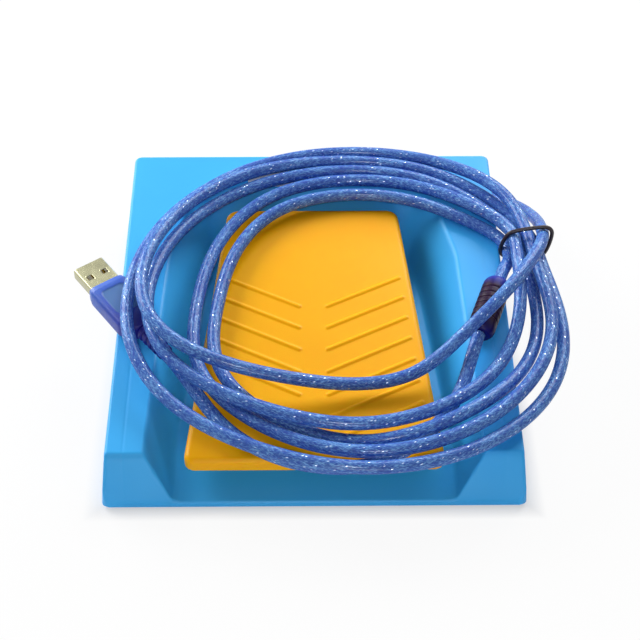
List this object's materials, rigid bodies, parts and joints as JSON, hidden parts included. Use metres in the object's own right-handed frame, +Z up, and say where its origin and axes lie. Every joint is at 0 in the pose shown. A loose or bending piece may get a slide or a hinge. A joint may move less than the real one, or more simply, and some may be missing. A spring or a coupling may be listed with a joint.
{
  "type": "usb foot pedal switch",
  "caption": "Low wedge-shaped foot switch with guard walls, a sprung ribbed pedal hinged at the rear over a snap switch, and a coiled USB cable with ferrite and plug.",
  "frame": {"origin": "on the floor, under the middle of the base's bounding box", "axes": "+X to the user's right, +Y to the rear, +Z up"},
  "size_m": [0.1775, 0.1869, 0.0442],
  "materials": {
    "base_plastic": "glossy moulded",
    "pedal_plastic": "glossy moulded",
    "steel": "plated",
    "foot_rubber": "matte",
    "black_plastic": "matte",
    "red_plastic": "satin",
    "white_plastic": "satin",
    "contact_brass": "plated",
    "board": "solder mask",
    "cable_jacket": "translucent over a braid",
    "cable_moulding": "translucent",
    "ferrite": "sintered",
    "ferrite_moulding": "translucent",
    "tie_wire": "coated wire",
    "plug_metal": "nickel plated"
  },
  "bodies": {
    "base": {"base_housing": "base_plastic", "bottom_plate": "base_plastic", "cover_screws": "steel", "rubber_feet": "foot_rubber", "hinge_pin": "steel", "pin_clip": "steel", "return_springs": "steel", "travel_bumpers": "foot_rubber", "switch_case": "black_plastic", "switch_terminals": "contact_brass", "switch_screws": "steel", "switch_wires": "red_plastic", "circuit_board": "board", "controller_chip": "black_plastic", "crystal": "steel", "cable_header": "white_plastic", "switch_header": "white_plastic", "board_screws": "steel", "cable_gland": "cable_moulding", "inner_cable": "cable_jacket", "cable_lead": "cable_jacket", "cable_coil": "cable_jacket", "cable_end": "cable_jacket", "ferrite_core": "ferrite", "ferrite_sleeve": "ferrite_moulding", "cable_tie": "tie_wire", "plug_overmould": "cable_moulding", "plug_shell": "plug_metal", "plug_insert": "white_plastic", "plug_contacts": "contact_brass"},
    "treadle": {"pedal": "pedal_plastic"},
    "plunger": {"switch_plunger": "red_plastic"}
  },
  "joints": [
    {"name": "pedal_press", "type": "hinge", "parent": "base", "child": "treadle", "pos_m": [0, 0.038, 0.017], "axis": [1, 0, 0], "range_deg": [0, 2.4], "stiffness_Nm_per_rad": 6, "springref_deg": -1.72, "deforming": ["return_springs"]},
    {"name": "plunger_press", "type": "slide", "parent": "base", "child": "plunger", "axis": [0, 0, -1], "range_m": [0, 0.0009]}
  ],
  "couplings": [
    {"joint": "plunger_press", "follows": "pedal_press", "m_per_rad": 0.02}
  ]
}
